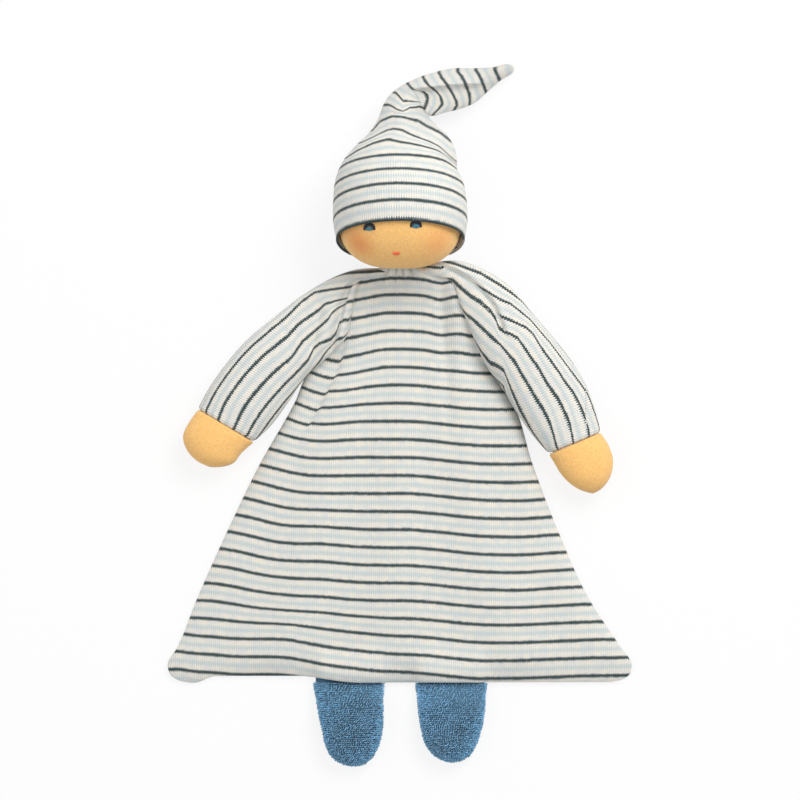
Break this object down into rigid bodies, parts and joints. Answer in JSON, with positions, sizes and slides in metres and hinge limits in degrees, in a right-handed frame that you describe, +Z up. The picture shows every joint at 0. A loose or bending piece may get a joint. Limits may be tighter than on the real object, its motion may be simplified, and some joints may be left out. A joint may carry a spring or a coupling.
{
  "type": "doll comforter",
  "caption": "Soft doll comforter lying on its back: a small stuffed head in a striped pointed hat, a flat A-line dress, stuffed arms with hands, and terry feet in the hem.",
  "frame": {"origin": "middle of the underside of the doll's box, on the surface it lies on", "axes": "+Y towards the head, +Z up out of the chest and face, +X towards the doll's left arm"},
  "size_m": [0.233, 0.3482, 0.0638],
  "materials": {
    "striped_jersey": "rib jersey with narrow stripes, matt",
    "skin_jersey": "fine cotton jersey, matt",
    "blue_terry": "looped terry, matt",
    "raw_wool": "carded wool, matt",
    "cotton_gauze": "open cotton gauze, matt",
    "pale_thread": "cotton thread",
    "blue_floss": "embroidery floss, soft sheen",
    "black_floss": "embroidery floss, soft sheen",
    "red_floss": "embroidery floss, soft sheen"
  },
  "bodies": {
    "dress": {"dress_front": "striped_jersey", "dress_back": "striped_jersey", "neck_gather_thread": "pale_thread", "neck_stub": "raw_wool", "right_sleeve_yoke": "striped_jersey", "left_sleeve_yoke": "striped_jersey"},
    "neck": {"neck_wool": "raw_wool", "neck_binding_thread": "pale_thread"},
    "head": {"head_skin": "skin_jersey", "head_gauze": "cotton_gauze", "head_wool": "raw_wool", "right_iris": "blue_floss", "right_lash": "black_floss", "left_iris": "blue_floss", "left_lash": "black_floss", "mouth": "red_floss", "hat_crown": "striped_jersey"},
    "hat_tail": {"hat_tail": "striped_jersey"},
    "right_arm": {"right_sleeve": "striped_jersey", "right_hand": "skin_jersey", "right_arm_wool": "raw_wool"},
    "left_arm": {"left_sleeve": "striped_jersey", "left_hand": "skin_jersey", "left_arm_wool": "raw_wool"},
    "right_foot": {"right_foot_terry": "blue_terry", "right_foot_wool": "raw_wool"},
    "left_foot": {"left_foot_terry": "blue_terry", "left_foot_wool": "raw_wool"}
  },
  "joints": [
    {"name": "head_nod", "type": "hinge", "parent": "dress", "child": "neck", "pos_m": [0, 0.07473, 0.02121], "axis": [1, 0, 0], "range_deg": [-18, 18]},
    {"name": "head_turn", "type": "hinge", "parent": "neck", "child": "head", "pos_m": [0, 0.10255, 0.03245], "axis": [0, 0.9272, 0.3746], "range_deg": [-45, 45]},
    {"name": "hat_tail_swing", "type": "hinge", "parent": "head", "child": "hat_tail", "pos_m": [0, 0.15897, 0.0152], "axis": [0, 0.2924, 0.9563], "range_deg": [-10, 70]},
    {"name": "right_arm_swing", "type": "hinge", "parent": "dress", "child": "right_arm", "pos_m": [-0.05208, 0.04334, 0], "axis": [0, 0, -1], "range_deg": [-5, 66]},
    {"name": "left_arm_swing", "type": "hinge", "parent": "dress", "child": "left_arm", "pos_m": [0.05208, 0.04334, 0], "axis": [0, 0, 1], "range_deg": [-5, 66]},
    {"name": "right_foot_flap", "type": "hinge", "parent": "dress", "child": "right_foot", "pos_m": [-0.02525, -0.13477, 0.0029], "axis": [-1, 0, 0], "range_deg": [-70, 80]},
    {"name": "left_foot_flap", "type": "hinge", "parent": "dress", "child": "left_foot", "pos_m": [0.02525, -0.13477, 0.0029], "axis": [-1, 0, 0], "range_deg": [-70, 80]}
  ]
}
